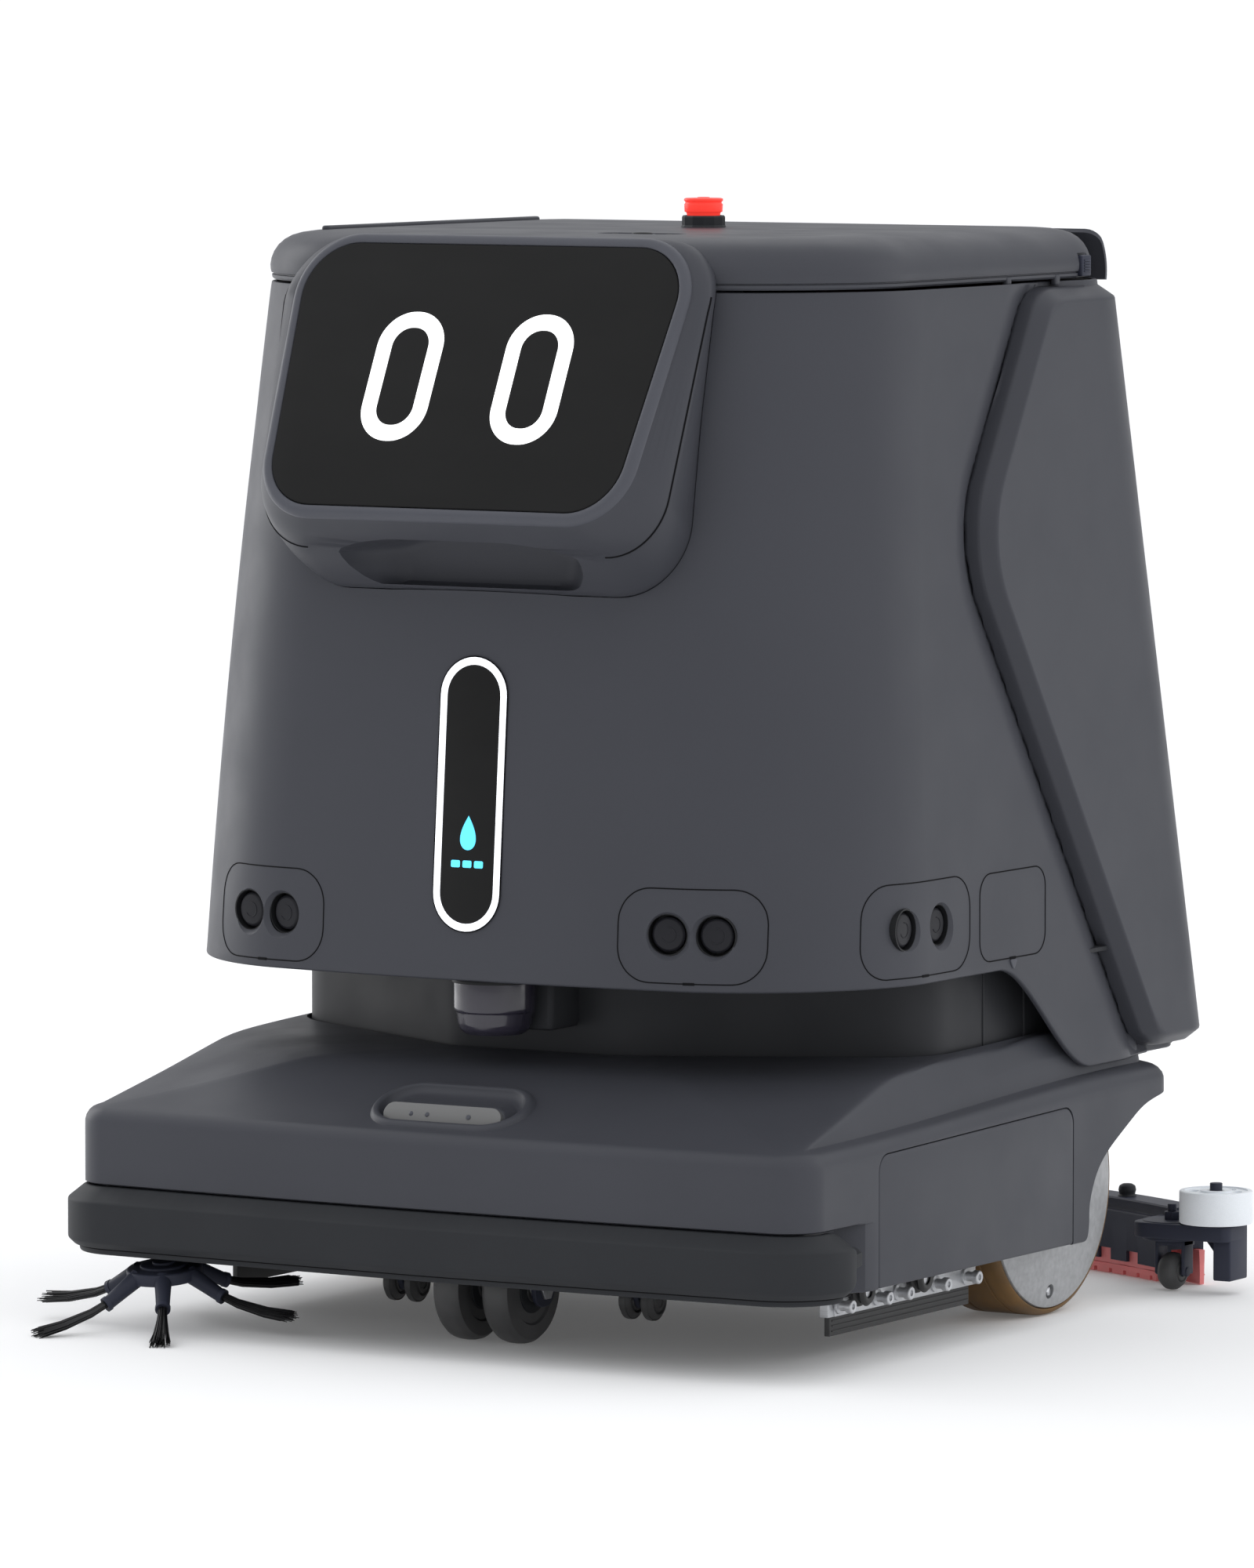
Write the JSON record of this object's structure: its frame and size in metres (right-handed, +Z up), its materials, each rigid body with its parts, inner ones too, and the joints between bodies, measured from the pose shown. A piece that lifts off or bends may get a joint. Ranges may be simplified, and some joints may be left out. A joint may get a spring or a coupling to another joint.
{
  "type": "robotic floor cleaner",
  "caption": "Waist-high mobile floor scrubbing robot with tilted screen, roller brush deck, side brush, drive wheels and curved rear squeegee.",
  "frame": {"origin": "on the floor, under the centre of the footprint", "axes": "+Z up; the front with the screen and bumper faces -Y; the robot's left side is +X"},
  "size_m": [0.601, 0.6701, 0.695],
  "materials": {
    "shell": "fine-textured moulded plastic, dark grey",
    "shell_dark": "matt black moulded plastic",
    "bumper": "soft matt dark-grey rubber",
    "glass": "gloss black",
    "light": "white diffuser",
    "red": "satin red",
    "lidar": "glossy infrared-pass plastic",
    "sensor": "matt black",
    "window": "glossy mid grey",
    "aluminium": "machined",
    "hub": "satin silver",
    "tyre": "brown polyurethane",
    "rubber": "matt dark-grey rubber",
    "red_rubber": "matt red rubber",
    "blue_grey": "satin dark blue-grey",
    "white": "satin white",
    "bristle": "black nylon bristle",
    "internal": "plain",
    "tank": "translucent tank plastic",
    "steel": "zinc-plated sheet"
  },
  "bodies": {
    "chassis": {"chassis_plate": "steel", "base_cover": "shell", "waist_cover": "shell_dark", "body_shell": "shell", "pod_left": "shell", "pod_right": "shell", "rear_hood": "shell", "lidar": "lidar", "light_ring": "light", "light_window": "glass", "camera_window": "window", "sonar_front_left": "sensor", "sonar_front_right": "sensor", "sonar_side_left": "sensor", "sonar_side_right": "sensor", "battery_pack": "internal", "clean_water_tank": "tank", "waste_water_tank": "tank", "vacuum_motor": "internal", "water_pump": "internal", "control_box": "internal", "drive_transaxle": "internal"},
    "lid": {"lid_shell": "shell", "face_cover": "shell", "screen_frame": "shell", "screen_glass": "glass", "estop_collar": "bumper"},
    "estop": {"estop_button": "red"},
    "button": {"power_button": "bumper"},
    "latch": {"lid_latch": "blue_grey"},
    "bumper_bar": {"bumper": "bumper"},
    "door_left": {"side_door_left": "shell"},
    "door_right": {"side_door_right": "shell"},
    "wheel_left": {"drive_tyre_left": "tyre", "drive_hub_left": "hub"},
    "wheel_right": {"drive_tyre_right": "tyre", "drive_hub_right": "hub"},
    "caster": {"caster_fork": "blue_grey"},
    "caster_roll_left": {"caster_wheel_left": "rubber"},
    "caster_roll_right": {"caster_wheel_right": "rubber"},
    "deck": {"brush_deck": "bumper", "side_bar_left": "aluminium", "side_bar_right": "aluminium", "side_blade_left": "rubber", "side_blade_right": "rubber"},
    "roller": {"roller_brush": "bristle"},
    "guide_left": {"guide_fork_left": "blue_grey"},
    "guide_right": {"guide_fork_right": "blue_grey"},
    "guide_roll_left": {"guide_rollers_left": "rubber"},
    "guide_roll_right": {"guide_rollers_right": "rubber"},
    "side_brush": {"side_brush_hub": "blue_grey", "side_brush_tufts": "bristle"},
    "arm": {"squeegee_arm": "blue_grey", "suction_hose": "bristle"},
    "squeegee": {"squeegee_beam": "blue_grey", "squeegee_blade": "red_rubber"},
    "fend_left": {"bumper_roller_left": "white"},
    "fend_right": {"bumper_roller_right": "white"},
    "support_left": {"squeegee_roller_left": "rubber"},
    "support_right": {"squeegee_roller_right": "rubber"}
  },
  "joints": [
    {"name": "lid_hinge", "type": "hinge", "parent": "chassis", "child": "lid", "pos_m": [0, 0.178, 0.648], "axis": [-1, 0, 0], "range_deg": [0, 55]},
    {"name": "estop_press", "type": "slide", "parent": "lid", "child": "estop", "axis": [0, 0, -1], "range_m": [0, 0.0038], "stiffness_N_per_m": 300},
    {"name": "button_press", "type": "slide", "parent": "lid", "child": "button", "axis": [0, 0, -1], "range_m": [0, 0.0008], "stiffness_N_per_m": 300},
    {"name": "latch_flip", "type": "hinge", "parent": "lid", "child": "latch", "pos_m": [0.2215, 0.15, 0.6595], "axis": [0, -1, 0], "range_deg": [0, 60]},
    {"name": "bumper_push", "type": "slide", "parent": "chassis", "child": "bumper_bar", "axis": [0, 1, 0], "range_m": [0, 0.004], "stiffness_N_per_m": 1500},
    {"name": "door_left_hinge", "type": "hinge", "parent": "chassis", "child": "door_left", "pos_m": [0.262, -0.058, 0.135], "axis": [0, -1, 0], "range_deg": [0, 85]},
    {"name": "door_right_hinge", "type": "hinge", "parent": "chassis", "child": "door_right", "pos_m": [-0.262, -0.058, 0.135], "axis": [0, 1, 0], "range_deg": [0, 85]},
    {"name": "drive_left", "type": "hinge", "parent": "chassis", "child": "wheel_left", "pos_m": [0.2105, 0.085, 0.08], "axis": [1, 0, 0], "continuous": true},
    {"name": "drive_right", "type": "hinge", "parent": "chassis", "child": "wheel_right", "pos_m": [-0.2105, 0.085, 0.08], "axis": [1, 0, 0], "continuous": true},
    {"name": "caster_swivel", "type": "hinge", "parent": "chassis", "child": "caster", "pos_m": [0, -0.205, 0.1], "axis": [0, 0, 1], "continuous": true},
    {"name": "caster_spin_left", "type": "hinge", "parent": "caster", "child": "caster_roll_left", "pos_m": [0.0175, -0.193, 0.034], "axis": [1, 0, 0], "continuous": true},
    {"name": "caster_spin_right", "type": "hinge", "parent": "caster", "child": "caster_roll_right", "pos_m": [-0.0175, -0.193, 0.034], "axis": [1, 0, 0], "continuous": true},
    {"name": "deck_lift", "type": "slide", "parent": "chassis", "child": "deck", "axis": [0, 0, 1], "range_m": [-0.014, 0]},
    {"name": "roller_spin", "type": "hinge", "parent": "deck", "child": "roller", "pos_m": [0, -0.055, 0.063], "axis": [1, 0, 0], "continuous": true},
    {"name": "guide_swivel_left", "type": "hinge", "parent": "deck", "child": "guide_left", "pos_m": [0.085, -0.17, 0.06], "axis": [0, 0, 1], "continuous": true},
    {"name": "guide_swivel_right", "type": "hinge", "parent": "deck", "child": "guide_right", "pos_m": [-0.085, -0.17, 0.06], "axis": [0, 0, 1], "continuous": true},
    {"name": "guide_spin_left", "type": "hinge", "parent": "guide_left", "child": "guide_roll_left", "pos_m": [0.085, -0.161, 0.0272], "axis": [1, 0, 0], "continuous": true},
    {"name": "guide_spin_right", "type": "hinge", "parent": "guide_right", "child": "guide_roll_right", "pos_m": [-0.085, -0.161, 0.0272], "axis": [1, 0, 0], "continuous": true},
    {"name": "side_brush_spin", "type": "hinge", "parent": "chassis", "child": "side_brush", "pos_m": [-0.206, -0.25, 0.0365], "axis": [0, -0.1392, 0.9903], "continuous": true},
    {"name": "squeegee_lift", "type": "hinge", "parent": "chassis", "child": "arm", "pos_m": [0, 0.15, 0.088], "axis": [1, 0, 0], "range_deg": [0, 15]},
    {"name": "squeegee_sway", "type": "hinge", "parent": "arm", "child": "squeegee", "pos_m": [0, 0.302, 0.066], "axis": [0, 0, 1], "range_deg": [-6, 6]},
    {"name": "fend_spin_left", "type": "hinge", "parent": "squeegee", "child": "fend_left", "pos_m": [0.277, 0.228, 0.0605], "axis": [0, 0, 1], "continuous": true},
    {"name": "fend_spin_right", "type": "hinge", "parent": "squeegee", "child": "fend_right", "pos_m": [-0.277, 0.228, 0.0605], "axis": [0, 0, 1], "continuous": true},
    {"name": "support_spin_left", "type": "hinge", "parent": "squeegee", "child": "support_left", "pos_m": [0.246, 0.2285, 0.0125], "axis": [1, 0, 0], "continuous": true},
    {"name": "support_spin_right", "type": "hinge", "parent": "squeegee", "child": "support_right", "pos_m": [-0.246, 0.2285, 0.0125], "axis": [1, 0, 0], "continuous": true}
  ]
}
